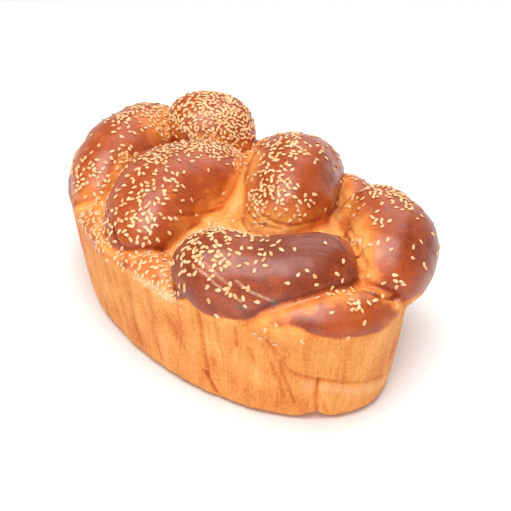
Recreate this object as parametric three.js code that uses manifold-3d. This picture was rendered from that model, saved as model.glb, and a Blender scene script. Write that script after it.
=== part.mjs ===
// A braided loaf baked in an oval tin, with sesame seeds on its crust.
// Millimetres, +Z up. The flat base lies on Z = 0 with its centre at the origin,
// and the loaf's length runs along X.
import * as THREE from "three";
import { mergeVertices } from "three/addons/utils/BufferGeometryUtils.js";
import Module from "manifold-3d";

// ---- the part that the tin shaped ----
const RIM_LENGTH = 243; // at the height where the tin ended
const RIM_WIDTH = 146;
const RIM_HEIGHT = 60;
const WALL_DRAFT = 5.2; // degrees that the wall leans outwards
const PLAN_POWER = 1.88; // of the plan's superellipse: 2 is an ellipse, less is more pointed
const FOOT_RADIUS = 6; // rounding between the base and the wall
const FOOT_STEPS = 4;
const CREASE_HEIGHT = 66; // of the dough between the strands
const SHOULDER_STEPS = 5;
const PLAN_STEPS = 56;

// ---- the strands that show on top, as bent rolls of dough ----
const STRAND_RINGS = 12;
const STRAND_SIDES = 18;
const END_POWER = 2.4; // fullness of the rounded ends: 2 is an ellipsoid
// path: points on the middle line. across and up: half sizes, spread evenly along it.
const STRANDS = [
  {
    // far corner
    path: [[-47, -56, 55], [-72, -28, 68], [-87, 2, 69], [-101, 33, 64]],
    across: [19, 21.5, 20.5],
    up: [20, 21, 20.5],
  },
  {
    // far row, first
    path: [[-80, 21, 62], [-63, 38, 71], [-59, 56, 56]],
    across: [25, 24.5, 24],
    up: [28, 23, 20],
  },
  {
    // near row, first
    path: [[7, -66, 60], [-22, -25, 69], [-29, 8, 66], [-34, 36, 62]],
    across: [26, 26, 29, 19],
    up: [23, 24, 23, 18],
  },
  {
    // far row, second
    path: [[40, -6, 58], [24, 24, 71], [10, 40, 70], [-3, 72, 55]],
    across: [20.5, 25, 27],
    up: [23, 29, 23],
  },
  {
    // near row, second
    path: [[30, -50, 62], [46, -44, 66], [60, -35, 66], [77, -17, 66], [89, 11, 66]],
    across: [25, 26.5, 26, 24, 26],
    up: [25, 26, 25, 22, 22],
  },
  {
    // near end
    path: [[48, 40, 54], [69, 44, 64], [92, 28, 65], [99, 5, 60]],
    across: [18, 22, 26, 25],
    up: [22, 24, 24, 21],
  },
  {
    // near end, low
    path: [[70, -46, 57], [90, -33, 60], [101, -17, 60], [108, 0, 59], [107, 20, 57]],
    across: [11, 13, 16.5, 16.5, 13],
    up: [9, 11, 13, 13, 11],
  },
  {
    // far end, low
    path: [[-104, -24, 54], [-110, 6, 58], [-98, 38, 57], [-72, 56, 52]],
    across: [13, 15],
    up: [12, 12],
  },
  {
    // near rim
    path: [[-66, -46, 56], [-38, -56.5, 58], [-2, -61.5, 58.5], [23, -60, 59], [46, -54, 58]],
    across: [12, 12.5, 12],
    up: [9, 9.5, 9],
  },
  {
    // back rim, first
    path: [[-44, 52, 54], [-24, 62, 60], [4, 58, 56]],
    across: [16, 15],
    up: [14, 13],
  },
  {
    // back rim, second
    path: [[6, 66, 56], [36, 63, 61], [66, 52, 56]],
    across: [14, 15, 13],
    up: [12, 14, 12],
  },
  {
    // between the rows
    path: [[-34, 50, 62], [-10, 24, 66], [12, -8, 60]],
    across: [10, 9],
    up: [10, 9],
  },
];

// ---- sesame seeds ----
const SEED_COUNT = 140;
const SEED_SIDES = 5;
const SEED_RINGS = 3;
const SEED_LENGTH = 3.4;
const SEED_WIDTH = 2.2;
const SEED_THICKNESS = 1.5;
const SEED_TAPER = 0.4; // how much narrower the pointed end is
const SEED_LIFT = 0.15; // a seed's middle above the crust
const SEED_SPACING = 5.2;
const STEEPEST = 0.3; // least upward share of the crust's direction where a seed stays on
const SPARSE = 0.06; // share of seeds away from the sprinkled places
// Sprinkled places, seen from above: middle, radius and share.
const SPRINKLES = [
  { x: -62, y: 40, radius: 28, share: 1 },
  { x: -34, y: 16, radius: 22, share: 0.9 },
  { x: -10, y: -44, radius: 24, share: 0.5 },
  { x: 42, y: -44, radius: 20, share: 0.9 },
  { x: 16, y: 30, radius: 26, share: 0.6 },
  { x: -78, y: -20, radius: 32, share: 0.5 },
  { x: -26, y: -60, radius: 34, share: 0.5 },
  { x: 74, y: 46, radius: 20, share: 0.5 },
];
const RANDOM_STATE = 7;

const UP = new THREE.Vector3(0, 0, 1);
const mix = THREE.MathUtils.lerp;
const wasm = await Module();
wasm.setup();

// A closed three.js geometry as a manifold-3d solid.
function solidOf(geometry) {
  const bare = geometry.clone();
  bare.deleteAttribute("normal");
  bare.deleteAttribute("uv");
  const merged = mergeVertices(bare, 1e-4);
  return new wasm.Manifold(
    new wasm.Mesh({
      numProp: 3,
      vertProperties: new Float32Array(merged.attributes.position.array),
      triVerts: new Uint32Array(merged.index.array),
    }),
  );
}

// A manifold-3d solid as a three.js geometry.
function geometryOf(solid) {
  const mesh = solid.getMesh();
  const geometry = new THREE.BufferGeometry();
  geometry.setAttribute("position", new THREE.BufferAttribute(mesh.vertProperties, mesh.numProp));
  geometry.setIndex(new THREE.BufferAttribute(mesh.triVerts, 1));
  return geometry;
}

// One ring of the tin's plan, moved in from the rim by `inset`, at height z.
function planRing(inset, z) {
  const ring = [];
  for (let step = 0; step < PLAN_STEPS; step++) {
    const angle = (step / PLAN_STEPS) * 2 * Math.PI;
    const [c, s] = [Math.cos(angle), Math.sin(angle)];
    const reach = (Math.abs(c) ** PLAN_POWER + Math.abs(s) ** PLAN_POWER) ** (-1 / PLAN_POWER);
    const [x, y] = [(RIM_LENGTH / 2) * reach * c, (RIM_WIDTH / 2) * reach * s];
    const shrink = 1 - inset / Math.hypot(x, y);
    ring.push(new THREE.Vector3(x * shrink, y * shrink, z));
  }
  return ring;
}

// Rings joined into a closed shell, with a fan to a middle point at each end.
function loft(rings, first, last) {
  const count = rings[0].length;
  const points = [...rings.flat(), first, last];
  const [firstIndex, lastIndex] = [points.length - 2, points.length - 1];
  const faces = [];
  for (let side = 0; side < count; side++) {
    const next = (side + 1) % count;
    faces.push(firstIndex, next, side);
    for (let row = 0; row + 1 < rings.length; row++) {
      const [low, high] = [row * count, (row + 1) * count];
      faces.push(low + side, low + next, high + next, low + side, high + next, high + side);
    }
    const top = (rings.length - 1) * count;
    faces.push(lastIndex, top + side, top + next);
  }
  const geometry = new THREE.BufferGeometry().setFromPoints(points);
  geometry.setIndex(faces);
  return geometry;
}

// The tin's part of the loaf: flat base, rounded foot, leaning wall and sloping shoulder.
function tinnedDough() {
  const lean = Math.tan(THREE.MathUtils.degToRad(WALL_DRAFT));
  const rings = [];
  for (let step = 0; step <= FOOT_STEPS; step++) {
    const angle = (step / FOOT_STEPS) * (Math.PI / 2);
    const z = FOOT_RADIUS * (1 - Math.cos(angle));
    rings.push(planRing((RIM_HEIGHT - z) * lean + FOOT_RADIUS * (1 - Math.sin(angle)), z));
  }
  rings.push(planRing((RIM_HEIGHT / 2) * lean, RIM_HEIGHT / 2));
  const shoulder = RIM_WIDTH / 2 - 6;
  for (let step = 0; step < SHOULDER_STEPS; step++) {
    const part = step / SHOULDER_STEPS;
    const rise = (CREASE_HEIGHT - RIM_HEIGHT) * Math.sqrt(1 - (1 - part) ** 2);
    rings.push(planRing(shoulder * part ** 1.5, RIM_HEIGHT + rise));
  }
  return loft(rings, new THREE.Vector3(0, 0, 0), new THREE.Vector3(0, 0, CREASE_HEIGHT));
}

// A half size at a place from 0 to 1 along a strand.
function sizeAt(sizes, place) {
  const scaled = place * (sizes.length - 1);
  const before = Math.min(Math.floor(scaled), sizes.length - 2);
  return mix(sizes[before], sizes[before + 1], scaled - before);
}

// A roll of dough along a smooth path, rounded at both ends.
function strand({ path, across, up }) {
  const line = new THREE.CatmullRomCurve3(path.map((point) => new THREE.Vector3(...point)), false, "centripetal");
  const rings = [];
  for (let ring = 1; ring < STRAND_RINGS; ring++) {
    const along = -Math.cos((ring / STRAND_RINGS) * Math.PI);
    const at = (along + 1) / 2;
    const fullness = (1 - Math.abs(along) ** END_POWER) ** (1 / END_POWER);
    const centre = line.getPointAt(at);
    const forward = line.getTangentAt(at);
    const sideways = new THREE.Vector3().crossVectors(forward, UP).normalize();
    const upwards = new THREE.Vector3().crossVectors(sideways, forward);
    const points = [];
    for (let side = 0; side < STRAND_SIDES; side++) {
      const angle = (side / STRAND_SIDES) * 2 * Math.PI;
      points.push(
        centre
          .clone()
          .addScaledVector(sideways, Math.cos(angle) * fullness * sizeAt(across, at))
          .addScaledVector(upwards, -Math.sin(angle) * fullness * sizeAt(up, at)),
      );
    }
    rings.push(points);
  }
  return loft(rings, line.getPointAt(0), line.getPointAt(1));
}

// Numbers from 0 to 1 that are the same on every run.
function randomNumbers(state) {
  return () => {
    state = (state + 0x6d2b79f5) | 0;
    let bits = Math.imul(state ^ (state >>> 15), 1 | state);
    bits = (bits + Math.imul(bits ^ (bits >>> 7), 61 | bits)) ^ bits;
    return ((bits ^ (bits >>> 14)) >>> 0) / 4294967296;
  };
}

// The share of seeds that a place on the crust gets.
function sprinkled(x, y) {
  let share = SPARSE;
  for (const patch of SPRINKLES) {
    const distance = Math.hypot(x - patch.x, y - patch.y) / patch.radius;
    share += patch.share * Math.exp(-(distance ** 2));
  }
  return share;
}

// A teardrop seed with few sides, lying flat with its length along X.
function seedGeometry() {
  const seed = new THREE.SphereGeometry(1, SEED_SIDES, SEED_RINGS).rotateZ(Math.PI / 2);
  const position = seed.attributes.position;
  for (let index = 0; index < position.count; index++) {
    const along = position.getX(index);
    const girth = 1 - SEED_TAPER * (along + 1) / 2;
    position.setXYZ(
      index,
      (along * SEED_LENGTH) / 2,
      (position.getY(index) * girth * SEED_WIDTH) / 2,
      (position.getZ(index) * girth * SEED_THICKNESS) / 2,
    );
  }
  return seed;
}

// Seeds dropped straight down onto the crust, more of them where it was sprinkled.
function seedSolids(crustMesh) {
  const random = randomNumbers(RANDOM_STATE);
  const ray = new THREE.Raycaster();
  const shape = seedGeometry();
  const settled = [];
  const solids = [];
  while (solids.length < SEED_COUNT) {
    const [x, y] = [(random() - 0.5) * RIM_LENGTH, (random() - 0.5) * RIM_WIDTH];
    const [chance, turn] = [random(), random() * 2 * Math.PI];
    ray.set(new THREE.Vector3(x, y, 2 * CREASE_HEIGHT), new THREE.Vector3(0, 0, -1));
    const [hit] = ray.intersectObject(crustMesh);
    if (!hit || hit.face.normal.z < STEEPEST) continue;
    if (chance * hit.face.normal.z > sprinkled(x, y)) continue;
    if (settled.some((point) => point.distanceTo(hit.point) < SEED_SPACING)) continue;
    settled.push(hit.point);
    const lie = new THREE.Quaternion().setFromUnitVectors(UP, hit.face.normal);
    lie.multiply(new THREE.Quaternion().setFromAxisAngle(UP, turn));
    const middle = hit.point.clone().addScaledVector(hit.face.normal, SEED_LIFT);
    const place = new THREE.Matrix4().compose(middle, lie, new THREE.Vector3(1, 1, 1));
    solids.push(solidOf(shape.clone().applyMatrix4(place)));
  }
  return solids;
}

let loafSolid = solidOf(tinnedDough());
for (const roll of STRANDS) loafSolid = loafSolid.add(solidOf(strand(roll)));
for (const seed of seedSolids(new THREE.Mesh(geometryOf(loafSolid)))) loafSolid = loafSolid.add(seed);

const crust = new THREE.MeshStandardMaterial({ name: "crust", color: "#a8561f", roughness: 0.5, metalness: 0 });
const loaf = new THREE.Mesh(geometryOf(loafSolid), crust);
loaf.name = "loaf";

const group = new THREE.Group();
group.add(loaf);

export default group;
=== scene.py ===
"""A braided loaf baked in an oval tin, with a browned crust and sesame seeds.

Lengths in the tables are millimetres, in the frame of the solid: +X along the loaf, +Z up,
the middle of the flat base at the origin.
"""

import math

import bpy
import numpy as np
from bpy.props import FloatProperty, FloatVectorProperty, IntProperty, PointerProperty
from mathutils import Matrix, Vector
from mathutils.kdtree import KDTree


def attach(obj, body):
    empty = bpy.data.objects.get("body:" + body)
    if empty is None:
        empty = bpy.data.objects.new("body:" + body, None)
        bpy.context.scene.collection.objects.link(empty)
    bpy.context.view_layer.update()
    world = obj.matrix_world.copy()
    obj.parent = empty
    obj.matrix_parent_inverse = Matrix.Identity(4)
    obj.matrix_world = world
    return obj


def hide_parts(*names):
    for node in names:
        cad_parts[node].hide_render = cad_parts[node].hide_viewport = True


bl_info = {
    "name": "Braided loaf",
    "version": (1, 0, 0),
    "blender": (4, 5, 0),
    "location": "View3D > Sidebar > Loaf",
    "description": "Bakes the crust of a braided loaf and scatters sesame seeds on it",
    "category": "Add Mesh",
}

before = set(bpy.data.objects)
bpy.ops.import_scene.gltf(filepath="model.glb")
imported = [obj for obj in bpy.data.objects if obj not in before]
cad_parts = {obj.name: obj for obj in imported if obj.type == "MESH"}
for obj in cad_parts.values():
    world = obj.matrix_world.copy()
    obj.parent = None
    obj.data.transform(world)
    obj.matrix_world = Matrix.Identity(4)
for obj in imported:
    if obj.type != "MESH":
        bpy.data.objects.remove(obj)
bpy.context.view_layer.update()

MM = 0.001

# ---- the part that the tin shaped ----
RIM_LENGTH = 243.0
RIM_WIDTH = 146.0
RIM_HEIGHT = 60.0
WALL_DRAFT = math.radians(5.2)
PLAN_POWER = 1.88
FOOT_RADIUS = 6.0
FOOT_STEPS = 8
CREASE_HEIGHT = 66.0
SHOULDER = RIM_WIDTH / 2 - 6.0
SHOULDER_STEPS = 12
SHOULDER_CURVE = 1.5
FLUTE_DEPTH = 0.28
WALL_LIMIT = 1.07  # dough further out than this share of the tin's plan is no wall

# Where the tin's wall ends: degrees round the loaf from +X, and height.
WALL_TOP = [
    (-180, 61), (-110, 57), (-100, 56.5), (-91, 60), (-84, 62), (-78, 62), (-73, 60), (-69, 59),
    (-63, 64), (-58, 62), (-50, 62.5), (-40, 64), (-35, 66), (-28, 64), (-20, 60.5), (-11, 59),
    (0, 58.5), (9, 60), (40, 61), (90, 62), (140, 60), (180, 61)]

# ---- the strands that show on top ----
END_POWER = 2.4
PATH_STEPS = 24
FAR_AWAY = 1e9
# path: points on the middle line. across and up: half sizes, spread evenly along it.
# baked: how brown the strand is, from 0 to 1. over: it lies over strands with a lower number.
STRANDS = {
    "far_corner": dict(
        path=[(-47, -56, 55), (-72, -28, 68), (-87, 2, 69), (-101, 33, 64)],
        across=[19, 21.5, 20.5], up=[20, 21, 20.5], baked=0.72, over=3),
    "far_row_first": dict(
        path=[(-80, 21, 62), (-63, 38, 71), (-59, 56, 56)],
        across=[25, 24.5, 24], up=[28, 23, 20], baked=0.72, over=4),
    "near_row_first": dict(
        path=[(7, -66, 60), (-22, -25, 69), (-27, 8, 66), (-33, 36, 62)],
        across=[26, 26.5, 31, 21], up=[23, 24, 23, 18], baked=0.76, over=5),
    "far_row_second": dict(
        path=[(40, -6, 58), (24, 24, 71), (10, 40, 70), (-3, 72, 55)],
        across=[20.5, 26.5, 27.5], up=[23, 29, 23], baked=0.8, over=5),
    "near_row_second": dict(
        path=[(29, -51, 64), (44, -44, 67.5), (60, -35.5, 63.5), (76, -17, 66.5), (88.5, 14, 69)],
        across=[26, 26.5, 25.5, 23.5, 25.5], up=[24.5, 24.5, 22.5, 23, 24],
        baked=0.88, over=6),
    "near_end": dict(
        path=[(46, 40, 53), (70, 48, 64), (91.5, 31.5, 65.5), (98.5, 4, 57)],
        across=[18.5, 22.5, 24.5, 24.5], up=[22, 23.5, 23, 23.5], baked=0.8, over=3),
    "near_end_low": dict(
        path=[(64, -49, 57), (90, -33, 60), (101, -17, 60), (108, 0, 59), (107, 20, 57)],
        across=[11, 13, 16.5, 16.5, 13], up=[9, 11, 13, 13, 11],
        baked=0.76, over=2),
    "far_end_low": dict(
        path=[(-104, -24, 54), (-110, 6, 58), (-98, 38, 57), (-72, 56, 52)],
        across=[13, 15], up=[12, 12], baked=0.35, over=1),
    "near_rim": dict(
        path=[(-66, -46, 56), (-38, -56.5, 58), (-2, -61.5, 58.5), (23, -60, 59), (46, -54, 58)],
        across=[12, 12.5, 12], up=[9, 9.5, 9], baked=0.58, over=1),
    "back_rim_first": dict(
        path=[(-44, 52, 54), (-24, 62, 60), (4, 58, 56)],
        across=[16, 15], up=[14, 13], baked=0.5, over=1),
    "back_rim_second": dict(
        path=[(4, 66, 54), (33, 64, 56.5), (62, 53, 50)],
        across=[14, 15, 13], up=[12, 14, 12], baked=0.72, over=1),
    "between_rows": dict(
        path=[(-34, 50, 62), (-10, 24, 66), (12, -8, 60)],
        across=[10, 9], up=[10, 9], baked=0.2, over=5.5),
}

# The creases between the strands: how brown the dough in them is, how they fill and the sharp
# line at their bottom, darkened as painted shade. Above them, a strand that dips under another
# has a golden border.
CREASE_BAKED = 0.16
FILLING = 0.7  # how far a point moves out to the mean of its neighbours, in one round,
FLATTENING = 0.12  # and how far in
ROUNDS_PER_NORMALS = 4  # the normals are taken again after this many rounds
CREASE_WIDTH = 1.5
CREASE_DEPTH = 1.3
# painted shade: how much darker the bottom of a crease is painted
CREASE_SHADE = 0.4
CRUMPLE_DEPTH = 0.5
BORDER = 2.0
BORDER_GROWTH = 13.0  # how much wider the border is on the brownest strand
OFF_STRAND = 6.0  # further than this from every strand is plain dough
WEB_REACH = 0.4  # the dough stretched between the rows: its share of the plan,
WEB_OVER = 5.5  # and its place among the strands
WALL_BAKED = 0.28

# Where the crust is paler (minus) or browner (plus) than its shape alone makes it:
# each place, its radius and the change.
OVEN_PLACES = [
    ((10, -36, 70), 9, -0.3),  # lower flank of the near row's first strand
    ((5, -16, 69), 9, -0.3),
    ((0, 6, 70), 8, -0.25),
    ((31, -8, 72), 9, -0.45),  # low end of the far row's second strand
    ((42, -4, 74), 10, -0.5),
    ((50, 8, 72), 10, -0.5),
    ((18, 0, 78), 8, -0.4),
    ((10, 9, 84), 7, -0.45),
    ((5, 17, 89), 7, -0.35),
    ((54, 36, 76), 9, -0.4),  # inner flank of the strand at the near end
    ((63, 29, 78), 10, -0.4),
    ((77, 22, 83), 9, -0.4),
    ((88, 14, 82), 9, -0.35),
    ((99, 9, 77), 7, -0.2),
    ((105, -36, 63), 8, 0.2),  # the low roll at the near end
    ((-70, 2, 83), 9, -0.3),  # far corner
    ((-48, -58, 65), 11, -0.3),
    ((88, -12, 84), 16, 0.15),  # the darkest places
    ((74, -24, 90), 12, 0.1),
    ((107, 38, 80), 15, 0.15),
    ((38, 42, 84), 14, 0.1),
]

# Lines pressed or pulled into the crust: width, depth, tint and path. A depth over 0 is a groove
# and under 0 a ridge. A tint over 0 is a share of flour, and under 0 is painted shade in the
# groove.
LINES = [
    # stretch marks across the near row's second strand
    (0.4, 0.35, 0.45, [(52, -59, 80), (59, -58, 81), (66, -57, 77), (73, -55, 75),
        (78, -52, 72)]),
    (0.35, 0.3, 0.3, [(55, -55, 84), (62, -54, 82), (70, -53, 79)]),
    (0.4, 0.35, 0.45, [(72, -50, 81), (78, -48, 78), (84, -44, 75), (89, -40, 73)]),
    # folds along its narrow end
    (0.6, 0.45, -0.4, [(72, -13, 87), (76, -4, 85), (84, 1, 82), (90, 0, 81)]),
    (0.5, 0.35, -0.35, [(78, -16, 88), (83, -9, 86), (89, -5, 83)]),
    (0.6, 0.35, -0.3, [(74, -24, 90), (82, -19, 88), (89, -11, 85), (95, -5, 80)]),
    # folds in the pale dough between the strands
    (1.1, 1.1, -0.3, [(49, 31, 66), (68, 20, 74), (80, 13, 77)]),
    (1.0, 0.8, -0.2, [(60, 29, 73), (79, 17, 81), (87, 15, 82)]),
    (1.0, 1.0, -0.3, [(59, 24, 66), (80, 12, 75), (89, 8, 75)]),
    (0.9, 0.9, -0.3, [(79, 16, 80), (88, 12, 79), (94, 8, 76)]),
    (1.1, 1.3, -0.4, [(97, 10, 77), (96, 6, 72), (100, -2, 71)]),
    (0.9, 0.8, -0.25, [(96, -3, 77), (98, -1, 74), (104, -7, 72)]),
    (1.0, 0.9, -0.3, [(36, -4, 78), (43, -1, 76), (48, 5, 74), (49, 14, 73), (48, 24, 71)]),
    (0.9, 0.7, -0.25, [(26, -5, 75), (38, -6, 74), (46, 0, 73)]),
    (0.9, 0.6, -0.2, [(8, -38, 78), (7, -29, 74), (4, -17, 69), (5, -6, 67)]),
    # pinched creases
    (1.1, 1.3, -0.3, [(86, 11, 77), (93, 8, 75), (98, 5, 72)]),
    (1.0, 0.8, -0.15, [(100, 9, 75), (94, 10, 78), (88, 16, 80)]),
    (1.5, 2.2, -1.0, [(107, 1, 71), (112, 5, 69), (114, 14, 63)]),
    (0.9, 1.0, -0.45, [(-8, -66, 73), (-3, -68, 71), (2, -68, 68), (7, -66, 67), (11, -62, 67),
        (15, -52, 66)]),
    (0.8, 0.7, -0.3, [(15, -52, 66), (19, -45, 65), (22, -38, 66)]),
    (0.9, 0.8, -0.3, [(10, -33, 68), (8, -22, 66), (12, -11, 66), (15, -3, 66)]),
    (0.8, 0.8, -0.3, [(16, -4, 68), (12, 3, 72), (6, 12, 76)]),
    # cracks down the near wall
    (1.1, 1.2, -0.55, [(59, -63, 61), (59, -61, 47), (59, -60, 34), (59, -58, 17)]),
    (1.3, 1.2, -0.6, [(58, -59, 18), (61, -57, 10), (63, -55, 5)]),
    (1.1, 0.6, -0.35, [(91, -46, 54), (94, -42, 41), (96, -39, 28), (98, -35, 14)]),
    (1.4, 0.4, -0.25, [(89, -47, 50), (92, -42, 34), (95, -39, 17)]),
    (1.0, 0.8, -0.25, [(93, -44, 50), (95, -40, 41), (98, -38, 35), (103, -33, 32),
        (109, -26, 30), (114, -16, 27), (117, 1, 22), (116, 12, 18), (112, 22, 17)]),
    (3.2, -0.4, 0.22, [(104, -32, 26), (110, -25, 25), (115, -15, 22), (117, 1, 17),
        (116, 12, 13)]),
    (1.0, 1.2, -0.5, [(107, -28, 31), (106.5, -27.5, 19), (106, -26.5, 8), (105, -26, 2)]),
    (1.0, 0.8, -0.3, [(108, -24, 15), (108.5, -22.5, 8), (109, -21, 4)]),
    (0.9, 0.5, -0.4, [(68, -59, 57), (68, -57, 42), (69, -56, 34)]),
    (0.9, 0.5, -0.4, [(77, -55, 58), (77, -53, 45)]),
    (0.9, 0.5, -0.35, [(83, -50, 46), (84, -48, 36)]),
    (1.4, 0.3, -0.2, [(-11, -73, 56), (-11, -72, 40), (-9, -69, 18)]),
    (1.2, 0.3, -0.2, [(10, -71, 44), (11, -69, 26), (13, -67, 8)]),
    (1.0, 0.3, -0.2, [(27, -69, 48), (35, -66, 31), (41, -63, 14)]),
    (1.0, 0.4, -0.25, [(35, -69, 54), (43, -65, 38), (51, -61, 20)]),
    (1.0, 0.3, -0.2, [(20, -70, 50), (25, -67, 26), (28, -65, 8)]),
]

# Pale, floury edge where the dough met the tin's rim.
RIM_EDGE = [
    (-40, -70, 67), (-28, -73, 67), (-12, -75, 65), (7, -75, 64), (18, -73, 63), (30, -70, 61),
    (46, -66, 60)]
RIM_EDGE_WIDTH = 2.2
RIM_EDGE_ROUGHNESS = 0.6

# Dark blisters on the glaze: each place and its radius.
BLISTERS = [((89, -40, 72), 2.0), ((79, -52, 69), 1.6)]
BLISTER_COLOUR = (0.09, 0.06, 0.055, 1.0)

# The notch at the foot of the wall.
NOTCH_AT = (104.5, -26, 0)
NOTCH_RADIUS = 4.5
NOTCH_DEPTH = 4.5

# ---- where the seeds were sprinkled ----
SPARSE_SEEDS = 0.03
# The thicker patches: each place, its radius and how many seeds it gets for its area.
SPRINKLES = [
    ((-56, 28, 92), 15, 2.0),  # far row, first
    ((-42, 38, 84), 13, 4.5),
    ((-62, 44, 90), 18, 1.3),
    ((-60, 16, 84), 10, 1.2),
    ((-27, -14, 92), 8, 1.8),  # near row, first: along its ridge
    ((-25, 2, 89), 8, 2.2),
    ((-22, 18, 81), 9, 2.2),
    ((-25, -28, 91), 7, 1.2),
    ((-8, -50, 84), 11, 0.9),
    ((4, -57, 79), 9, 1.0),
    ((-10, -34, 88), 10, 0.5),
    ((20, -24, 68), 7, 0.8),
    ((36, -44, 82), 9, 1.7),  # near row, second: round its blunt end
    ((42, -34, 87), 8, 2.0),
    ((52, -26, 88), 6, 2.0),
    ((48, -55, 83), 9, 1.1),
    ((56, -50, 86), 9, 1.0),
    ((66, -54, 78), 7, 0.5),
    ((72, -36, 88), 10, 0.4),
    ((81, 10, 76), 6, 1.0),
    ((29, 8, 92), 8, 1.8),  # far row, second
    ((30, 0, 84), 7, 1.7),
    ((17, 28, 98), 12, 1.0),
    ((33, -5, 77), 6, 1.0),
    ((22, 12, 84), 8, 1.0),
    ((44, 10, 82), 10, 0.5),
    ((-82, 8, 87), 13, 1.0),  # far corner
    ((-72, 8, 84), 8, 1.0),
    ((-78, -14, 90), 9, 0.6),
    ((-54, -50, 74), 10, 1.3),
    ((-54, -28, 80), 8, 0.8),
    ((-33, -68, 65), 9, 1.8),  # near rim
    ((-16, -69, 65), 8, 1.4),
    ((6, -70, 65), 8, 1.0),
    ((22, -63, 67), 9, 1.2),
    ((40, -64, 63), 8, 1.4),
    ((70, 48, 86), 10, 1.6),  # near end
    ((80, 48, 86), 8, 1.0),
    ((86, 24, 86), 8, 0.4),
    ((113, 14, 69), 5, 0.9),
    ((106, -12, 73), 9, 0.6),  # near end, low
    ((114, -12, 69), 6, 0.5),
    ((-20, 62, 72), 24, 0.5),  # far side
    ((-92, 40, 72), 24, 0.5),
    ((26, 68, 70), 16, 0.15),
]

# Single seeds that stuck to the wall.
STUCK_SEEDS = [(94, -43, 53), (88, -48, 55), (86, -50, 57), (105, -37, 59), (49, -65, 56)]
SEED_SLOPES = (-0.05, 0.35)  # upward part of the crust's direction: no seeds, and all of them
SEED_HEIGHTS = (57, 61)  # no seeds below the first, and all of them from the second
SEED_SPACING = 1.75
SEED_TRIES = 6  # drops for each seed that is kept
SEED_TAPER = 0.42
SEED_TILT = 0.12
SEED_LIFT = (0.2, 0.42)
SEED_SIZES = 0.07  # how much whole seeds differ in size,
SEED_SHAPES = 0.05  # and how much their length, width and thickness do
SEED_TOASTING = (1.7, 2.3)  # most are a little under half way between cream and toasted

# ---- the studio, in metres ----
TARGET = Vector((9.2, 13.0, 29.75)) * MM
FOCAL_PIXELS = 898
FRAME_PIXELS = 511
SENSOR = 36.0
FLOOR_RADIUS = 0.95
FLOOR_SIDES = 96

COLLECTION = "Braided loaf"


# ---- settings ----
class LoafShapeSettings(bpy.types.PropertyGroup):
    """Sizes of the crust's mesh."""

    grid: FloatProperty(
        name="Mesh grid", description="Edge length of the crust's mesh",
        default=1.02 * MM, unit="LENGTH")
    unevenness: FloatProperty(
        name="Unevenness", description="How far the dough swells in and out",
        default=0.7 * MM, unit="LENGTH")
    crease_filling: IntProperty(
        name="Crease filling", description="Rounds of smoothing that fill the creases", default=1)


class CrustSettings(bpy.types.PropertyGroup):
    """Colours of the baked crust."""

    pale: FloatVectorProperty(
        name="Pale", description="Dough that the oven hardly coloured",
        default=(0.90, 0.43, 0.15, 1.0), subtype="COLOR", size=4)
    gold: FloatVectorProperty(
        name="Gold", description="Dough that opened late in the oven",
        default=(0.78, 0.30, 0.068, 1.0), subtype="COLOR", size=4)
    amber: FloatVectorProperty(
        name="Amber", description="Between gold and brown",
        default=(0.62, 0.17, 0.032, 1.0), subtype="COLOR", size=4)
    chestnut: FloatVectorProperty(
        name="Chestnut", description="Glazed and well baked",
        default=(0.37, 0.060, 0.009, 1.0), subtype="COLOR", size=4)
    dark: FloatVectorProperty(
        name="Dark", description="The most baked places",
        default=(0.19, 0.027, 0.005, 1.0), subtype="COLOR", size=4)
    flour: FloatVectorProperty(
        name="Flour", description="Stretch marks and the rim's edge",
        default=(0.93, 0.64, 0.40, 1.0), subtype="COLOR", size=4)


class SesameSettings(bpy.types.PropertyGroup):
    """Sizes and colours of the sesame seeds."""

    count: IntProperty(name="Seeds", description="Number of seeds", default=1900)
    length: FloatProperty(
        name="Length", description="Length of a seed", default=2.95 * MM, unit="LENGTH")
    width: FloatProperty(
        name="Width", description="Width of a seed", default=2.2 * MM, unit="LENGTH")
    thickness: FloatProperty(
        name="Thickness", description="Thickness of a seed", default=0.9 * MM, unit="LENGTH")
    cream: FloatVectorProperty(
        name="Cream", description="The palest seeds",
        default=(0.88, 0.58, 0.31, 1.0), subtype="COLOR", size=4)
    toasted: FloatVectorProperty(
        name="Toasted", description="The most toasted seeds",
        default=(0.72, 0.34, 0.12, 1.0), subtype="COLOR", size=4)


class StudioSettings(bpy.types.PropertyGroup):
    """The camera, the lights and the floor."""

    azimuth: FloatProperty(
        name="Azimuth", description="Where the camera stands",
        default=math.radians(51), subtype="ANGLE")
    elevation: FloatProperty(
        name="Elevation", description="How far the camera looks down",
        default=math.radians(36), subtype="ANGLE")
    distance: FloatProperty(
        name="Distance", description="Camera to its target", default=0.511, unit="LENGTH")
    floor: FloatVectorProperty(
        name="Floor", description="Colour of the floor",
        default=(0.9, 0.9, 0.9, 1.0), subtype="COLOR", size=4)


# ---- shapes, in millimetres ----
def unit(vectors):
    """Vectors scaled to length 1."""
    return vectors / np.linalg.norm(vectors, axis=1, keepdims=True)


def angles_round(steps):
    """Even steps round a circle."""
    return np.arange(steps) / steps * 2 * math.pi


def plan_ring(inset, height, steps=180):
    """One ring of the tin's plan, moved in from the rim."""
    angle = angles_round(steps)
    cosine, sine = np.cos(angle), np.sin(angle)
    reach = (np.abs(cosine) ** PLAN_POWER + np.abs(sine) ** PLAN_POWER) ** (-1 / PLAN_POWER)
    ring = np.stack([RIM_LENGTH / 2 * reach * cosine, RIM_WIDTH / 2 * reach * sine], axis=1)
    ring *= (1 - inset / np.hypot(ring[:, 0], ring[:, 1]))[:, None]
    return np.column_stack([ring, np.full(steps, height)])


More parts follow.
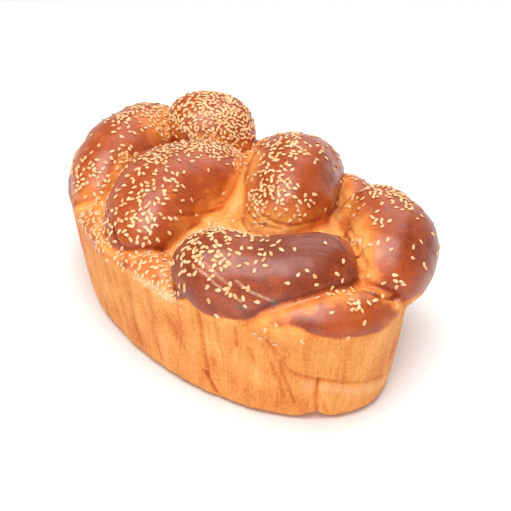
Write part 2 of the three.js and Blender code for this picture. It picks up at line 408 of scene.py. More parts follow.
def loft(rings, first, last):
    """Vertices and faces of rings joined into a closed shell, with a fan at each end."""
    count = len(rings[0])
    points = np.vstack([*rings, [first], [last]])
    first_index, last_index = len(points) - 2, len(points) - 1
    faces = []
    for side in range(count):
        after = (side + 1) % count
        faces.append((first_index, after, side))
        for row in range(len(rings) - 1):
            low, high = row * count, (row + 1) * count
            faces.append((low + side, low + after, high + after, high + side))
        top = (len(rings) - 1) * count
        faces.append((last_index, top + side, top + after))
    return points, faces


def tinned_dough():
    """The flat base, rounded foot, leaning wall and sloping shoulder."""
    lean = math.tan(WALL_DRAFT)
    rings = []
    for step in range(FOOT_STEPS + 1):
        angle = step / FOOT_STEPS * math.pi / 2
        height = FOOT_RADIUS * (1 - math.cos(angle))
        inset = (RIM_HEIGHT - height) * lean + FOOT_RADIUS * (1 - math.sin(angle))
        rings.append(plan_ring(inset, height))
    rings.append(plan_ring(RIM_HEIGHT / 2 * lean, RIM_HEIGHT / 2))
    for step in range(SHOULDER_STEPS):
        part = step / SHOULDER_STEPS
        rise = (CREASE_HEIGHT - RIM_HEIGHT) * math.sqrt(1 - (1 - part) ** 2)
        rings.append(plan_ring(SHOULDER * part ** SHOULDER_CURVE, RIM_HEIGHT + rise))
    return loft(rings, (0, 0, 0), (0, 0, CREASE_HEIGHT))


def smooth_path(points):
    """A centripetal Catmull-Rom curve through the points, and the share of it run at each."""
    points = np.array(points, dtype=float)
    ends = [2 * points[0] - points[1], *points, 2 * points[-1] - points[-2]]
    line = []
    for p0, p1, p2, p3 in zip(ends, ends[1:], ends[2:], ends[3:]):
        t1 = np.linalg.norm(p1 - p0) ** 0.5
        t2 = t1 + np.linalg.norm(p2 - p1) ** 0.5
        t3 = t2 + np.linalg.norm(p3 - p2) ** 0.5
        t = np.linspace(t1, t2, PATH_STEPS, endpoint=False)[:, None]
        a1 = (t1 - t) / t1 * p0 + t / t1 * p1
        a2 = (t2 - t) / (t2 - t1) * p1 + (t - t1) / (t2 - t1) * p2
        a3 = (t3 - t) / (t3 - t2) * p2 + (t - t2) / (t3 - t2) * p3
        b1 = (t2 - t) / t2 * a1 + t / t2 * a2
        b2 = (t3 - t) / (t3 - t1) * a2 + (t - t1) / (t3 - t1) * a3
        line.append((t2 - t) / (t2 - t1) * b1 + (t - t1) / (t2 - t1) * b2)
    line = np.vstack([*line, points[-1:]])
    run = np.concatenate([[0], np.cumsum(np.linalg.norm(np.diff(line, axis=0), axis=1))])
    return run / run[-1], line


def strand_frames(strand, places):
    """Middle points, two directions and half sizes of a strand at places from 0 to 1."""
    run, line = smooth_path(strand["path"])

    def at(place):
        return np.stack([np.interp(place, run, line[:, axis]) for axis in range(3)], axis=1)

    step = 0.01
    forward = unit(at(np.clip(places + step, 0, 1)) - at(np.clip(places - step, 0, 1)))
    sideways = unit(np.cross(forward, (0, 0, 1)))
    upwards = np.cross(sideways, forward)
    across, up = (
        np.interp(places, np.linspace(0, 1, len(strand[size])), strand[size])
        for size in ("across", "up"))
    return at(places), sideways, upwards, across, up


def roll_of_dough(strand, rings=44, sides=48):
    """A strand as a closed shell."""
    along = -np.cos(np.arange(1, rings) / rings * math.pi)
    fullness = (1 - np.abs(along) ** END_POWER) ** (1 / END_POWER)
    middle, sideways, upwards, across, up = strand_frames(strand, (along + 1) / 2)
    angle = angles_round(sides)
    shells = []
    for ring in range(len(along)):
        shells.append(
            middle[ring]
            + np.outer(np.cos(angle) * fullness[ring] * across[ring], sideways[ring])
            - np.outer(np.sin(angle) * fullness[ring] * up[ring], upwards[ring]))
    return loft(shells, strand["path"][0], strand["path"][-1])


# ---- meshes ----
def loaf_collection():
    """The collection that holds everything made here."""
    found = bpy.data.collections.get(COLLECTION)
    if found is None:
        found = bpy.data.collections.new(COLLECTION)
        bpy.context.scene.collection.children.link(found)
    return found


def new_object(name, data):
    """A mesh, lamp or camera as an object in the loaf's collection."""
    thing = bpy.data.objects.new(name, data)
    loaf_collection().objects.link(thing)
    return thing


def dressed(name, mesh, material):
    """A mesh as a smooth object of one material."""
    mesh.polygons.foreach_set("use_smooth", [True] * len(mesh.polygons))
    mesh.update()
    mesh.materials.clear()
    mesh.materials.append(material)
    return new_object(name, mesh)


def read(things, label, width, kind=float):
    """One value of each vertex, edge or corner, in rows of that many numbers."""
    values = np.empty(len(things) * width, dtype=kind)
    things.foreach_get(label, values)
    return values.reshape(-1, width)


class Skin:
    """A mesh as arrays: points in millimetres, four-sided faces and both ways along each edge."""

    def __init__(self, mesh):
        if len(mesh.loops) != 4 * len(mesh.polygons):
            raise RuntimeError("the remeshed crust has to be all four-sided faces")
        self.points = read(mesh.vertices, "co", 3) / MM
        self.faces = read(mesh.loops, "vertex_index", 1, np.int64).reshape(-1, 4)
        first, second = read(mesh.edges, "vertices", 2, np.int64).T
        self.start = np.concatenate([first, second])
        self.end = np.concatenate([second, first])
        self.valence = np.bincount(self.start, minlength=len(self.points))

    def neighbours(self, values):
        """The mean of each point's neighbours, for a column or three."""
        columns = values.reshape(len(values), -1)
        sums = [np.bincount(self.start, column[self.end], len(values)) for column in columns.T]
        return (np.stack(sums, axis=1) / self.valence[:, None]).reshape(values.shape)

    def face_normals(self):
        """Directions and areas of the faces."""
        corner = self.points[self.faces]
        cross = np.cross(corner[:, 2] - corner[:, 0], corner[:, 3] - corner[:, 1]) / 2
        area = np.linalg.norm(cross, axis=1)
        return cross / np.maximum(area, 1e-9)[:, None], area

    def normals(self):
        """Directions of the points."""
        direction, area = self.face_normals()
        weighted = direction * area[:, None]
        total = np.zeros_like(self.points)
        for corner in range(4):
            for axis in range(3):
                total[:, axis] += np.bincount(self.faces[:, corner], weighted[:, axis], len(total))
        return total / np.maximum(np.linalg.norm(total, axis=1), 1e-9)[:, None]

    def blurred(self, values, rounds, rate=0.6):
        """Values spread over the surface."""
        for _ in range(rounds):
            values = values + rate * (self.neighbours(values) - values)
        return values


def ramp(value, low, high):
    """Smooth step from 0 at low to 1 at high."""
    t = np.clip((value - low) / (high - low), 0, 1)
    return t * t * (3 - 2 * t)


def swells(points, size, seed, waves=14):
    """A smooth random field of about -1 to 1, from crossed waves of about that size."""
    rng = np.random.default_rng(seed)
    total = np.zeros(len(points))
    for _ in range(waves):
        direction = rng.normal(size=3)
        direction /= np.linalg.norm(direction)
        length = size * rng.uniform(0.7, 1.6)
        total += np.sin(points @ direction * 2 * math.pi / length + rng.uniform(0, 2 * math.pi))
    return total / math.sqrt(waves)


def nearness(points, place, radius):
    """1 at a place and near 0 beyond its radius."""
    gap = np.linalg.norm(points - np.array(place), axis=1) / radius
    return np.exp(-gap ** 2)


def plan_share(points):
    """How far from the middle each point is, as a share of the rim's length and width."""
    return np.hypot(points[:, 0] / RIM_LENGTH, points[:, 1] / RIM_WIDTH)


def unrolled(place, height):
    """Points of the wall laid flat: the way round it and a height."""
    return np.column_stack([place, height, np.zeros(len(place))])


def in_reach(points, shape, margin):
    """Which points lie in the box round a shape, grown by a margin."""
    low, high = shape.min(0) - margin, shape.max(0) + margin
    return np.all((points > low) & (points < high), axis=1)


def line_distance(points, path):
    """Distance from each point to a smooth line, where it is near."""
    _, line = smooth_path(path)
    best = np.full(len(points), FAR_AWAY)
    close = in_reach(points, line, margin=12)
    near = points[close]
    found = np.full(len(near), FAR_AWAY)
    for a, b in zip(line[:-1], line[1:]):
        leg = b - a
        part = np.clip((near - a) @ leg / max(leg @ leg, 1e-9), 0, 1)
        found = np.minimum(found, np.linalg.norm(near - a - part[:, None] * leg, axis=1))
    best[close] = found
    return best


def tree_of(points):
    """A search tree of points."""
    tree = KDTree(len(points))
    for index, spot in enumerate(points):
        tree.insert(spot, index)
    tree.balance()
    return tree


def gaps_to(cloud, points):
    """Distance from each point to the nearest of a cloud of points."""
    tree = tree_of(cloud)
    return np.array([tree.find(spot)[2] for spot in points])


def joined_dough(grid):
    """The tin's dough and the strands, grown together into one skin."""
    points, faces = [], []
    for shell_points, shell_faces in [tinned_dough(), *map(roll_of_dough, STRANDS.values())]:
        offset = sum(len(part) for part in points)
        points.append(shell_points)
        faces += [tuple(offset + index for index in face) for face in shell_faces]
    mesh = bpy.data.meshes.new("dough")
    mesh.from_pydata((np.vstack(points) * MM).tolist(), [], faces)
    dough = new_object("dough", mesh)
    remesh = dough.modifiers.new("grow together", "REMESH")
    remesh.mode = "VOXEL"
    remesh.voxel_size = grid
    remesh.adaptivity = 0
    bpy.context.view_layer.update()
    depsgraph = bpy.context.evaluated_depsgraph_get()
    joined = bpy.data.meshes.new_from_object(dough.evaluated_get(depsgraph))
    bpy.data.objects.remove(dough)
    bpy.data.meshes.remove(mesh)
    return joined


def bearing(points):
    """The way from the middle to each point, in radians from +X, as if the rim were round."""
    return np.arctan2(points[:, 1] / RIM_WIDTH, points[:, 0] / RIM_LENGTH)


def wall_share(points):
    """1 on the wall that the tin shaped, 0 on the strands and creases above it."""
    inset = np.clip(RIM_HEIGHT - points[:, 2], 0, None) * math.tan(WALL_DRAFT)
    reach = (
        (np.abs(points[:, 0]) / (RIM_LENGTH / 2 - inset)) ** PLAN_POWER
        + (np.abs(points[:, 1]) / (RIM_WIDTH / 2 - inset)) ** PLAN_POWER) ** (1 / PLAN_POWER)
    edge = np.interp(np.degrees(bearing(points)), *np.transpose(WALL_TOP))
    edge = edge + 0.7 * swells(points, size=12, seed=41)
    return ramp(points[:, 2], edge + 1.0, edge - 1.0) * ramp(WALL_LIMIT - reach, 0, 0.015)


def perimeter_place(points):
    """How far round the wall each point is, in millimetres."""
    ring = plan_ring(0, 0, steps=720)
    run = np.concatenate([[0], np.cumsum(np.linalg.norm(np.diff(ring[:, :2], axis=0), axis=1))])
    return np.interp(bearing(points) % (2 * math.pi), bearing(ring) % (2 * math.pi), run)


def fill_creases(skin, rounds):
    """Rounds the creases outwards, as dough that has grown together does."""
    above = ramp(skin.points[:, 2], RIM_HEIGHT - 6, RIM_HEIGHT + 2)
    for step in range(rounds):
        if step % ROUNDS_PER_NORMALS == 0:
            normals = skin.normals()
        pull = skin.neighbours(skin.points) - skin.points
        outwards = np.sum(pull * normals, axis=1) > 0
        share = np.where(outwards, FILLING, FLATTENING) * (0.25 + 0.75 * above)
        skin.points = skin.points + pull * share[:, None]


def nearest_strand(points):
    """Which strand each point lies on, by the nearest of the strands' own points."""
    best = np.full(len(points), FAR_AWAY)
    nearest = np.zeros(len(points), dtype=int)
    for number, strand in enumerate(STRANDS.values()):
        cloud, _ = roll_of_dough(strand, rings=130, sides=140)
        close = np.flatnonzero(in_reach(points, cloud, margin=9))
        gap = gaps_to(cloud, points[close])
        nearer = gap < best[close]
        best[close[nearer]] = gap[nearer]
        nearest[close[nearer]] = number
    nearest[best > OFF_STRAND] = -1
    return nearest


def of_strand(nearest, key, otherwise):
    """A number of the strand that each point lies on, and another one off the strands."""
    return np.array([strand[key] for strand in STRANDS.values()] + [otherwise])[nearest]


def crease_gap(skin, nearest, side):
    """How far each point is from the strands over its own (side 1) or under it (side -1)."""
    inside = plan_share(skin.points) < WEB_REACH
    order = of_strand(nearest, "over", 0)
    order = np.where((nearest < 0) & inside, WEB_OVER, order)
    crossing = side * (order[skin.end] - order[skin.start]) > 0
    gap = np.full(len(nearest), 99.0)
    for number in np.unique(nearest):
        border = np.unique(skin.start[crossing & (nearest[skin.start] == number)])
        if len(border):
            own = nearest == number
            gap[own] = gaps_to(skin.points[border], skin.points[own])
    return gap


def shape_crust(skin, unevenness, creases):
    """Presses the relief into the skin and gives what the paint needs to know about it."""
    points = skin.points
    normals = skin.normals()
    wall = wall_share(points)
    place = perimeter_place(points)
    lift = unevenness / MM * swells(points, size=42, seed=11) * (1 - 0.6 * wall)
    lift += 0.25 * swells(points, size=14, seed=12) * (1 - wall)
    around = unrolled(place, points[:, 2] * 0.16)
    flutes = swells(around, size=7.0, seed=13) * 0.5 + swells(around, size=3.6, seed=14) * 0.3
    lift += FLUTE_DEPTH * flutes * wall
    above = ramp(points[:, 2], RIM_HEIGHT - 4, RIM_HEIGHT + 3)
    groove = skin.blurred(np.exp(-(creases / CREASE_WIDTH) ** 2) * above, rounds=3)
    lift -= CREASE_DEPTH * groove
    inside = ramp(plan_share(points), 0.45, 0.38)
    crumples = ramp(0.3 - np.abs(swells(points, size=6, seed=15, waves=30)), 0, 0.3)
    lift -= CRUMPLE_DEPTH * crumples * ramp(9 - creases, 0, 5) * above * inside
    # Painted shade: the bottom of each crease darkened along its groove.
    mark = -CREASE_SHADE * groove
    surface = tree_of(points)
    for width, depth, tint, path in LINES:
        path = [surface.find(spot)[0] for spot in path]
        gap = np.exp(-(line_distance(points, path) / width) ** 2)
        lift -= depth * gap
        # a tint under 0 is painted shade along the groove, over 0 is flour
        mark = np.where(np.abs(tint * gap) > np.abs(mark), tint * gap, mark)
    edge = np.exp(-(line_distance(points, RIM_EDGE) / RIM_EDGE_WIDTH) ** 2)
    edge *= 0.35 + 0.65 * ramp(swells(points, size=7, seed=31), -0.6, 0.8)
    mark = np.where(edge > np.abs(mark), edge * 0.8, mark)
    lift += RIM_EDGE_ROUGHNESS * edge * swells(points, size=2.8, seed=33)
    resting = ramp(points[:, 2], 3.0, 0.2)
    skin.points = points + normals * (lift * (1 - resting))[:, None]
    dent = nearness(points, NOTCH_AT, NOTCH_RADIUS)
    skin.points[:, 2] += NOTCH_DEPTH * dent
    skin.points[:, :2] *= 1 - 0.02 * dent[:, None]
    skin.points[:, 2] = np.maximum(skin.points[:, 2], 0)
    return wall, place, mark


def oven_colour(skin, wall, nearest, under, over):
    """How brown each point is, from 0 to 1: bulges brown first and creases last."""
    points = skin.points
    baked = of_strand(nearest, "baked", CREASE_BAKED)
    border = BORDER + BORDER_GROWTH * baked ** 2
    tucked = ramp((under + 1.6 * swells(points, size=9, seed=25)) / border, 0, 1)
    free = ramp(over, -0.5, 1.2)
    brown = skin.blurred(CREASE_BAKED + (baked - CREASE_BAKED) * tucked * free, rounds=2)
    for place, radius, change in OVEN_PLACES:
        brown += change * nearness(points, place, radius)
    brown += 0.04 * swells(points, size=16, seed=21) + 0.03 * swells(points, size=7, seed=22)
    brown = np.clip(brown, 0.03, 1)
    around = unrolled(perimeter_place(points), points[:, 2] * 0.14)
    baked_wall = WALL_BAKED + 0.05 * swells(around, size=11, seed=23)
    baked_wall += 0.07 * swells(points, size=22, seed=24)
    baked_wall += 0.1 * ramp(points[:, 2], 5, 0)
    return np.clip(brown * (1 - wall) + baked_wall * wall, 0, 1)


def blistered(points):
    """How dark each point is from a blister."""
    surface = tree_of(points)
    blister = sum(nearness(points, surface.find(place)[0], radius) for place, radius in BLISTERS)
    return np.clip(blister * (0.9 + 0.4 * swells(points, size=2.5, seed=32)), 0, 0.9)


def store(mesh, name, values, kind="FLOAT"):
    """Keeps a value for each vertex under a name that a material can read."""
    attribute = mesh.attributes.new(name, kind, "POINT")
    label = "value" if kind == "FLOAT" else "vector"
    attribute.data.foreach_set(label, values.astype(np.float32).ravel())


# ---- node groups ----
class Wiring:
    """Short calls for building a node tree."""

    def __init__(self, tree):
        self.tree = tree

    def add(self, kind, **settings):
        """A node with its settings and its inputs' values or links."""
        inputs = settings.pop("inputs", {})
        node = self.tree.nodes.new(kind)
        for name, value in settings.items():
            setattr(node, name, value)
        self.feed_all(node, inputs)
        return node

    def feed_all(self, node, inputs):
        """Links or plain values for inputs of a node."""
        for name, value in inputs.items():
            self.feed(node.inputs[name], value)

    def feed(self, socket, value):
        """A link if value is a socket, and otherwise a plain value."""
        if isinstance(value, bpy.types.NodeSocket):
            self.tree.links.new(value, socket)
        else:
            socket.default_value = value

    def maths(self, operation, first, second=0.0, clamp=False):
        """The result of a Math node."""
        return self.add(
            "ShaderNodeMath", operation=operation, use_clamp=clamp,
            inputs={0: first, 1: second}).outputs[0]

    def plus(self, base, value, factor, clamp=False):
        """The base with a value times a factor on top."""
        return self.maths("ADD", base, self.maths("MULTIPLY", value, factor), clamp)

    def centred(self, noise):
        """A noise that runs both ways from 0."""
        return self.maths("SUBTRACT", noise, 0.5)

    def spread(self, value, low, high, to_low=0.0, to_high=1.0):
        """A value moved from one range to another, with soft ends."""
        return self.add(
            "ShaderNodeMapRange", interpolation_type="SMOOTHSTEP",
            inputs={
                "Value": value, "From Min": low, "From Max": high,
                "To Min": to_low, "To Max": to_high}).outputs["Result"]

    def blend(self, share, first, second):
        """Two colours mixed."""
        node = self.add("ShaderNodeMix", data_type="RGBA")
        colours = [socket for socket in node.inputs if socket.type == "RGBA"]
        for socket, value in zip((node.inputs[0], *colours), (share, first, second)):
            self.feed(socket, value)
        return next(socket for socket in node.outputs if socket.type == "RGBA")

    def noise(self, vector, scale, detail, roughness):
        """The value of a Noise texture."""
        return self.add(
            "ShaderNodeTexNoise", inputs={
                "Vector": vector, "Scale": scale, "Detail": detail, "Roughness": roughness},
        ).outputs["Fac"]

    def stored(self, name, output="Fac"):
        """A value that is kept on the mesh."""
        return self.add("ShaderNodeAttribute", attribute_name=name).outputs[output]

    def group(self, name, make, inputs):
        """A node group, built the first time that it is asked for."""
        tree = bpy.data.node_groups.get(name) or make(name)
        return self.add("ShaderNodeGroup", node_tree=tree, inputs=inputs).outputs

    def grain(self, pore_size, fleck_size):
        """The baked grain, laid through the object."""
        where = self.add("ShaderNodeTexCoord").outputs["Object"]
        return self.group("Baked grain", baked_grain_group, {
            "Vector": where, "Pore Size": pore_size, "Fleck Size": fleck_size})

    def bump(self, shader, height, strength, distance):
        """Gives a shader its fine relief."""
        node = self.add("ShaderNodeBump", inputs={
            "Height": height, "Strength": strength, "Distance": distance})
        self.feed(shader.inputs["Normal"], node.outputs["Normal"])


def group_of(name, inputs, outputs):
    """A new shader node group with named sockets, its wiring and its two ends."""
    tree = bpy.data.node_groups.new(name, "ShaderNodeTree")
    for label, kind, value in inputs:
        socket = tree.interface.new_socket(label, in_out="INPUT", socket_type=kind)
        if value is not None:
            socket.default_value = value
    for label, kind in outputs:
        tree.interface.new_socket(label, in_out="OUTPUT", socket_type=kind)
    wires = Wiring(tree)
    return tree, wires, wires.add("NodeGroupInput"), wires.add("NodeGroupOutput")


FLOAT, COLOUR, VECTOR = "NodeSocketFloat", "NodeSocketColor", "NodeSocketVector"


def baked_grain_group(name):
    """Fine pores, flecks and wide patches, for anything that has been through the oven."""
    tree, wires, given, result = group_of(
        name,
        [("Vector", VECTOR, None), ("Pore Size", FLOAT, 0.001), ("Fleck Size", FLOAT, 0.004)],
        [("Pores", FLOAT), ("Flecks", FLOAT), ("Patches", FLOAT)])
    pore_scale = wires.maths("DIVIDE", 1.0, given.outputs["Pore Size"])
    fleck_scale = wires.maths("DIVIDE", 1.0, given.outputs["Fleck Size"])
    patch_scale = wires.maths("MULTIPLY", fleck_scale, 0.15)
    for output, scale, detail in (
            ("Pores", pore_scale, 3.0), ("Flecks", fleck_scale, 4.0),
            ("Patches", patch_scale, 3.0)):
        wires.feed(result.inputs[output], wires.noise(given.outputs["Vector"], scale, detail, 0.6))
    return tree


def oven_browning_group(name):
    """From pale dough to dark crust, by how long it was baked."""
    steps = ["Pale", "Gold", "Amber", "Chestnut", "Dark"]
    tree, wires, given, result = group_of(
        name,
        [("Baked", FLOAT, 0.5), *((step, COLOUR, (0.5, 0.3, 0.1, 1.0)) for step in steps)],
        [("Color", COLOUR)])
    colour = given.outputs["Pale"]
    for number, step in enumerate(steps[1:]):
        share = wires.spread(given.outputs["Baked"], number * 0.25, (number + 1) * 0.25)
        colour = wires.blend(share, colour, given.outputs[step])
    wires.feed(result.inputs["Color"], colour)
    return tree


def tin_streaks_group(name):
    """Lines and bands down the wall, where the dough rose against the tin."""
    tree, wires, given, result = group_of(
        name,
        [("Round And Up", VECTOR, None), ("Fine", FLOAT, 1.0), ("Broad", FLOAT, 1.0)],
        [("Lines", FLOAT), ("Bands", FLOAT)])
    for output, scale, upright, roughness in (
            ("Lines", "Fine", 0.05, 0.65), ("Bands", "Broad", 0.25, 0.55)):
        stretched = wires.add(
            "ShaderNodeVectorMath", operation="MULTIPLY",
            inputs={0: given.outputs["Round And Up"], 1: (1.0, upright, 1.0)}).outputs[0]
        streaks = wires.noise(stretched, given.outputs[scale], detail=3.0, roughness=roughness)
        wires.feed(result.inputs[output], streaks)
    return tree


def new_material(name):
    """An empty material, its wiring and its Principled BSDF."""
    material = bpy.data.materials.new(name)
    material.use_nodes = True
    material.node_tree.nodes.clear()
    wires = Wiring(material.node_tree)
    shader = wires.add("ShaderNodeBsdfPrincipled")
    output = wires.add("ShaderNodeOutputMaterial")
    wires.feed(output.inputs["Surface"], shader.outputs["BSDF"])
    return material, wires, shader


def crust_material(colours):
    """The baked crust: glazed brown bulges, golden creases and a pale streaked wall."""
    material, wires, shader = new_material("baked crust")
    baked, wall, mark, blister = map(wires.stored, ("baked", "wall", "mark", "blister"))
    grain = wires.grain(pore_size=0.0009, fleck_size=0.0035)
    streaks = wires.group("Tin streaks", tin_streaks_group, {
        "Round And Up": wires.stored("round_and_up", "Vector"), "Fine": 900.0, "Broad": 160.0})
    top = wires.maths("SUBTRACT", 1.0, wall)
    # The mark's negative part is painted shade in the creases and grooves; its positive part is
    # flour.
    painted_groove_shade = wires.maths("MAXIMUM", wires.maths("MULTIPLY", mark, -1.0), 0.0)
    floury = wires.maths("MAXIMUM", mark, 0.0)

    fleck, pore = wires.centred(grain["Flecks"]), wires.centred(grain["Pores"])
    line, band = wires.centred(streaks["Lines"]), wires.centred(streaks["Bands"])
    level = wires.plus(baked, fleck, 0.26)
    level = wires.plus(level, pore, 0.4)
    wall_level = wires.plus(wires.maths("MULTIPLY", line, 0.42), band, 0.42)
    scratches = wires.spread(streaks["Lines"], 0.6, 0.74, to_high=0.22)
    wall_level = wires.plus(wall_level, scratches, wires.spread(grain["Patches"], 0.45, 0.6))
    wall_level = wires.plus(wall_level, pore, 0.35)
    level = wires.plus(level, wall_level, wall)
    # Painted shade: the creases and grooves darkened.
    level = wires.plus(level, painted_groove_shade, 0.6, clamp=True)
    browning = wires.group("Oven browning", oven_browning_group, {
        "Baked": level, "Pale": colours.pale, "Gold": colours.gold, "Amber": colours.amber,
        "Chestnut": colours.chestnut, "Dark": colours.dark})
    colour = wires.blend(floury, browning["Color"], colours.flour)

    glaze = wires.maths("MULTIPLY", wires.spread(level, 0.2, 0.6), top)
    rough = wires.spread(glaze, 0.0, 1.0, to_low=0.62, to_high=0.36)
    wires.feed_all(shader, {
        "Base Color": wires.blend(blister, colour, BLISTER_COLOUR),
        "Roughness": wires.plus(rough, pore, 0.25),
        "Coat Weight": wires.maths("MULTIPLY", glaze, 0.55),
        "Coat Roughness": 0.3, "IOR": 1.45, "Specular IOR Level": 0.25})

    height = wires.plus(wires.maths("MULTIPLY", grain["Pores"], 0.6), grain["Flecks"], 0.25)
    grooves = wires.maths("ADD", streaks["Lines"], streaks["Bands"])
    height = wires.plus(height, grooves, wall)
    wires.bump(shader, height, strength=0.55, distance=0.0006)
    return material


def sesame_material(colours):
    """Sesame seeds, each toasted a little differently."""
    material, wires, shader = new_material("toasted sesame")
    toast, tip = map(wires.stored, ("toast", "tip"))
    grain = wires.grain(pore_size=0.0006, fleck_size=0.002)
    share = wires.plus(toast, tip, 0.25)
    share = wires.maths("ADD", share, wires.centred(grain["Flecks"]), clamp=True)
    wires.feed_all(shader, {
        "Base Color": wires.blend(share, colours.cream, colours.toasted),
        "Roughness": wires.spread(grain["Pores"], 0.0, 1.0, to_low=0.38, to_high=0.6)})
    wires.bump(shader, grain["Pores"], strength=0.3, distance=0.0002)
    return material


def floor_material(colour):
    """A plain matt floor with a trace of grain."""
    material, wires, shader = new_material("pale floor")
    grain = wires.grain(pore_size=0.004, fleck_size=0.2)
    shade = tuple(0.98 * channel for channel in colour[:3]) + (1.0,)
    wires.feed_all(shader, {
        "Base Color": wires.blend(grain["Flecks"], tuple(colour), shade),
        "Roughness": 0.8, "Specular IOR Level": 0.1})
    return material


# ---- sesame seeds ----
def seed_shell(rings=6, sides=8):
    """One seed of length, width and thickness 1: a drop, pointed at +X, in triangles."""
    along = -np.cos(np.arange(1, rings) / rings * math.pi)
    fullness = np.sqrt(1 - along ** 2) * (1 - SEED_TAPER * (along + 1) / 2)
    angle = angles_round(sides)
    shells = [
        np.column_stack([
            np.full(sides, place / 2), np.cos(angle) * width / 2, -np.sin(angle) * width / 2])
        for place, width in zip(along, fullness)]
    points, faces = loft(shells, (-0.5, 0, 0), (0.5, 0, 0))
    triangles = []
    for face in faces:
        triangles.append(face[:3])
        if len(face) == 4:
            triangles.append((face[0], face[2], face[3]))
    return points, np.array(triangles)


def sprinkled(points):
    """How thickly the seeds lie at each point."""
    share = np.full(len(points), SPARSE_SEEDS)
    for place, radius, thickness in SPRINKLES:
        share += thickness * nearness(points, place, radius)
    return share


def settle_seeds(skin, count, rng):
    """Places and upward directions of seeds dropped on the skin, clear of each other."""
    direction, area = skin.face_normals()
    middle = skin.points[skin.faces].mean(1)
    share = sprinkled(middle) * area
    share = share * ramp(direction[:, 2], *SEED_SLOPES) * ramp(middle[:, 2], *SEED_HEIGHTS)
    share /= share.sum()
    tries = rng.choice(len(share), size=count * SEED_TRIES, p=share)
    corner_share = rng.dirichlet((1, 1, 1, 1), size=len(tries))
    spots = np.einsum("nk,nkd->nd", corner_share, skin.points[skin.faces[tries]])
    kept, kept_faces = np.empty((count, 3)), []
    for spot, face in zip(spots, tries):
        taken = len(kept_faces)
        if taken == count:
            break
        if taken and np.min(np.sum((kept[:taken] - spot) ** 2, axis=1)) < SEED_SPACING ** 2:
            continue
        kept[taken] = spot
        kept_faces.append(face)
    stuck = [int(np.argmin(np.sum((middle - spot) ** 2, axis=1))) for spot in STUCK_SEEDS]
    kept_faces += stuck
    return np.vstack([kept[:len(kept_faces) - len(stuck)], middle[stuck]]), direction[kept_faces]


def seed_frames(upwards, rng):
    """Three directions for each seed: its length at random, with a small tilt."""
    upwards = unit(upwards + rng.normal(scale=SEED_TILT, size=upwards.shape))
    lengthways = unit(np.cross(upwards, rng.normal(size=upwards.shape)))
    return lengthways, np.cross(upwards, lengthways), upwards


def sesame_mesh(skin, settings):
    """All the seeds as one mesh, with each seed's toasting stored on it."""
    rng = np.random.default_rng(seed=5)
    spots, upwards = settle_seeds(skin, settings.count, rng)
    lengthways, sideways, upwards = seed_frames(upwards, rng)
    shell, triangles = seed_shell()
    total = len(spots)
    size = rng.normal(1.0, SEED_SIZES, size=(total, 1)) * np.array(
        [settings.length, settings.width, settings.thickness]) / MM
    size *= rng.normal(1.0, SEED_SHAPES, size=(total, 3))
    local = shell[None] * size[:, None]
    points = (
        local[..., 0:1] * lengthways[:, None]
        + local[..., 1:2] * sideways[:, None]
        + local[..., 2:3] * upwards[:, None]
        + (spots + upwards * rng.uniform(*SEED_LIFT, size=(total, 1)))[:, None])
    faces = (triangles[None] + np.arange(total)[:, None, None] * len(shell)).reshape(-1, 3)
    mesh = bpy.data.meshes.new("sesame")
    mesh.from_pydata((points.reshape(-1, 3) * MM).tolist(), [], faces.tolist())
    toast = rng.beta(*SEED_TOASTING, size=total)
    store(mesh, "toast", np.repeat(toast, len(shell)))
    store(mesh, "tip", np.tile(np.clip(shell[:, 0] * 2, 0, 1) ** 3, total))
    return mesh


# ---- operators ----
SKINS = {}


class LOAF_OT_bake_crust(bpy.types.Operator):
    """Grow the strands and the tin's dough together, press in the relief and bake the crust"""

    bl_idname = "loaf.bake_crust"
    bl_label = "Bake the crust"

    def execute(self, context):
        shape = context.scene.loaf_shape
        mesh = joined_dough(shape.grid)
        skin = Skin(mesh)
        fill_creases(skin, shape.crease_filling)
        nearest = nearest_strand(skin.points)
        under, over = (crease_gap(skin, nearest, side) for side in (1, -1))
        wall, place, mark = shape_crust(skin, shape.unevenness, np.minimum(under, over))
        mesh.vertices.foreach_set("co", (skin.points * MM).astype(np.float32).ravel())
        store(mesh, "baked", oven_colour(skin, wall, nearest, under, over))
        store(mesh, "wall", wall)
        # mark: flour where over 0, painted shade in the creases and grooves where under 0
        store(mesh, "mark", mark)
        store(mesh, "blister", blistered(skin.points))
        store(mesh, "round_and_up", unrolled(place, skin.points[:, 2]) * MM, "FLOAT_VECTOR")
        mesh.name = "crust"
        crust = dressed("crust", mesh, crust_material(context.scene.loaf_crust))
        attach(crust, "root")
        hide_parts("loaf")
        SKINS["crust"] = skin
        return {"FINISHED"}


class LOAF_OT_scatter_sesame(bpy.types.Operator):
    """Scatter the sesame seeds on the baked crust"""

    bl_idname = "loaf.scatter_sesame"
    bl_label = "Scatter the sesame"

    def execute(self, context):
        if "crust" not in SKINS:
            raise RuntimeError("bake the crust before the sesame is scattered")
        settings = context.scene.loaf_sesame
        mesh = sesame_mesh(SKINS["crust"], settings)
        seeds = dressed("sesame_seeds", mesh, sesame_material(settings))
        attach(seeds, "root")
        return {"FINISHED"}


def stand(thing, azimuth, elevation, distance):
    """Stands a camera or a lamp on one side of the loaf, looking at it."""
    flat = math.cos(elevation)
    back = Vector((math.sin(azimuth) * flat, -math.cos(azimuth) * flat, math.sin(elevation)))
    thing.location = TARGET + back * distance
    thing.rotation_euler = (-back).to_track_quat("-Z", "Y").to_euler()


def place_camera(studio):
    """The camera, looking at the loaf from above its near end."""
    data = bpy.data.cameras.new("camera")
    data.sensor_width = SENSOR
    data.lens = FOCAL_PIXELS / FRAME_PIXELS * SENSOR
    data.clip_start = 0.01
    camera = new_object("camera", data)
    stand(camera, studio.azimuth, studio.elevation, studio.distance)
    bpy.context.scene.camera = camera


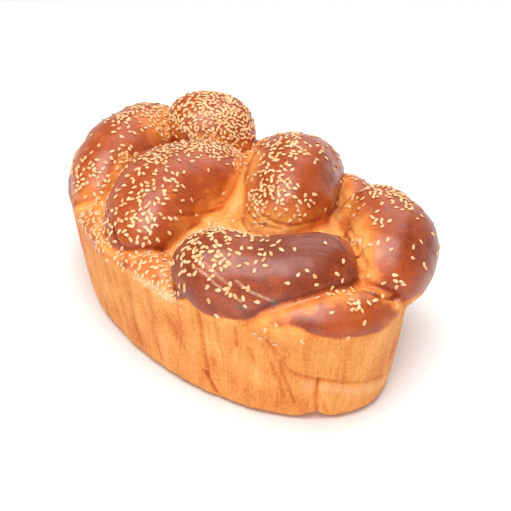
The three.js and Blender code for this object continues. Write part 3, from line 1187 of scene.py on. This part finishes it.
def lay_floor(colour):
    """A round floor, small enough to be lit evenly."""
    angle = angles_round(FLOOR_SIDES)
    edge = np.column_stack([np.cos(angle), np.sin(angle), np.zeros(FLOOR_SIDES)])
    mesh = bpy.data.meshes.new("floor")
    mesh.from_pydata((FLOOR_RADIUS * edge).tolist(), [], [tuple(range(FLOOR_SIDES))])
    mesh.materials.append(floor_material(colour))
    new_object("floor", mesh)


def add_softbox(name, azimuth, elevation, distance, size, power):
    """A square area light that faces the loaf. Its angles are degrees."""
    data = bpy.data.lights.new(name, "AREA")
    data.shape = "SQUARE"
    data.size = size
    data.energy = power
    stand(new_object(name, data), math.radians(azimuth), math.radians(elevation), distance)


def light_the_room():
    """White walls all round, brighter near the floor than overhead, and plain white to see."""
    world = bpy.data.worlds.new("studio")
    world.use_nodes = True
    wires = Wiring(world.node_tree)
    background = world.node_tree.nodes["Background"]
    background.inputs["Color"].default_value = (1, 1, 1, 1)
    direction = wires.add("ShaderNodeTexCoord").outputs["Generated"]
    height = wires.add("ShaderNodeSeparateXYZ", inputs={0: direction}).outputs["Z"]
    light = wires.spread(height, 0.1, 0.6, to_low=0.75, to_high=0.2)
    seen = wires.add("ShaderNodeLightPath").outputs["Is Camera Ray"]
    wires.feed(background.inputs["Strength"], wires.maths("MAXIMUM", light, seen))
    bpy.context.scene.world = world


class LOAF_OT_set_stage(bpy.types.Operator):
    """Set the floor, the lights and the camera"""

    bl_idname = "loaf.set_stage"
    bl_label = "Set the stage"

    def execute(self, context):
        studio = context.scene.loaf_studio
        place_camera(studio)
        lay_floor(studio.floor)
        add_softbox("overhead", azimuth=35, elevation=76, distance=1.1, size=0.8, power=15.0)
        add_softbox("behind", azimuth=208, elevation=46, distance=1.2, size=0.8, power=4.0)
        add_softbox("front", azimuth=35, elevation=10, distance=1.4, size=1.1, power=7.0)
        light_the_room()
        context.scene.view_settings.view_transform = "Standard"
        return {"FINISHED"}


class LOAF_PT_sidebar(bpy.types.Panel):
    """The loaf's settings and steps."""

    bl_idname = "LOAF_PT_sidebar"
    bl_label = "Braided loaf"
    bl_space_type = "VIEW_3D"
    bl_region_type = "UI"
    bl_category = "Loaf"

    def draw(self, context):
        for settings in SETTINGS:
            box = self.layout.box()
            group = getattr(context.scene, settings)
            for name in group.__annotations__:
                box.prop(group, name)
        for step in STEPS:
            self.layout.operator(step.bl_idname)


STEPS = (LOAF_OT_bake_crust, LOAF_OT_scatter_sesame, LOAF_OT_set_stage)
SETTINGS = {
    "loaf_shape": LoafShapeSettings,
    "loaf_crust": CrustSettings,
    "loaf_sesame": SesameSettings,
    "loaf_studio": StudioSettings,
}


def register():
    """Adds the settings, the steps and the panel to Blender."""
    for name, kind in SETTINGS.items():
        bpy.utils.register_class(kind)
        setattr(bpy.types.Scene, name, PointerProperty(type=kind))
    for step in (*STEPS, LOAF_PT_sidebar):
        bpy.utils.register_class(step)


def unregister():
    """Takes them away again."""
    for step in reversed((*STEPS, LOAF_PT_sidebar)):
        bpy.utils.unregister_class(step)
    for name, kind in reversed(SETTINGS.items()):
        delattr(bpy.types.Scene, name)
        bpy.utils.unregister_class(kind)


def main():
    """Runs every step."""
    register()
    bpy.ops.loaf.bake_crust()
    bpy.ops.loaf.scatter_sesame()
    bpy.ops.loaf.set_stage()


if __name__ == "__main__":
    main()
